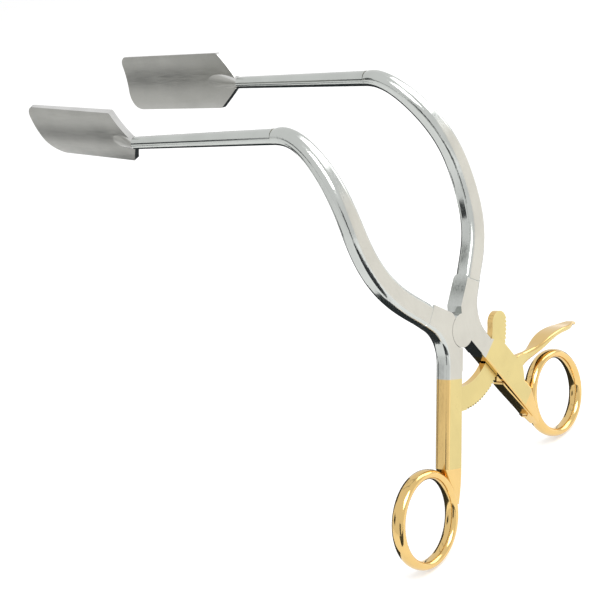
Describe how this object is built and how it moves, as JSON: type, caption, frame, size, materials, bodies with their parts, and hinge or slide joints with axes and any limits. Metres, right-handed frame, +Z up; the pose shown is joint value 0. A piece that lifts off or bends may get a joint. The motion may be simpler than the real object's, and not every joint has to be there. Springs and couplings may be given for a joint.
{
  "type": "vaginal retractor",
  "caption": "Self-holding vaginal retractor: two crossed arms with angled flat blades, finger rings, a curved ratchet bar and a sprung thumb release.",
  "frame": {"origin": "the joint's axis on the front face of the right half", "axes": "+X to the right seen from the handle side, +Y from the front face back along the blades, +Z up from the finger rings to the arms"},
  "size_m": [0.1236, 0.1537, 0.1684],
  "materials": {
    "steel": "satin stainless steel",
    "satin_steel": "matt satin stainless steel",
    "gold_plate": "polished gold plating on steel"
  },
  "bodies": {
    "left_half": {"left_half": "steel", "left_blade": "satin_steel", "left_finger_ring": "gold_plate", "ratchet_bar": "gold_plate", "bar_rivets": "gold_plate"},
    "right_half": {"right_half": "steel", "right_blade": "satin_steel", "right_finger_ring": "gold_plate", "pivot_screw": "steel", "lever_pin": "gold_plate", "leaf_spring": "gold_plate", "spring_screw": "gold_plate"},
    "release_lever": {"release_lever": "gold_plate"}
  },
  "joints": [
    {"name": "main_pivot", "type": "hinge", "parent": "left_half", "child": "right_half", "pos_m": [0, 0, 0], "axis": [0, 1, 0], "range_deg": [-27, 45]},
    {"name": "lever_pivot", "type": "hinge", "parent": "right_half", "child": "release_lever", "pos_m": [0.01701, 0.003, -0.02661], "axis": [0, 1, 0], "range_deg": [-5, 8], "stiffness_Nm_per_rad": 0.05, "deforming": ["leaf_spring"]}
  ]
}
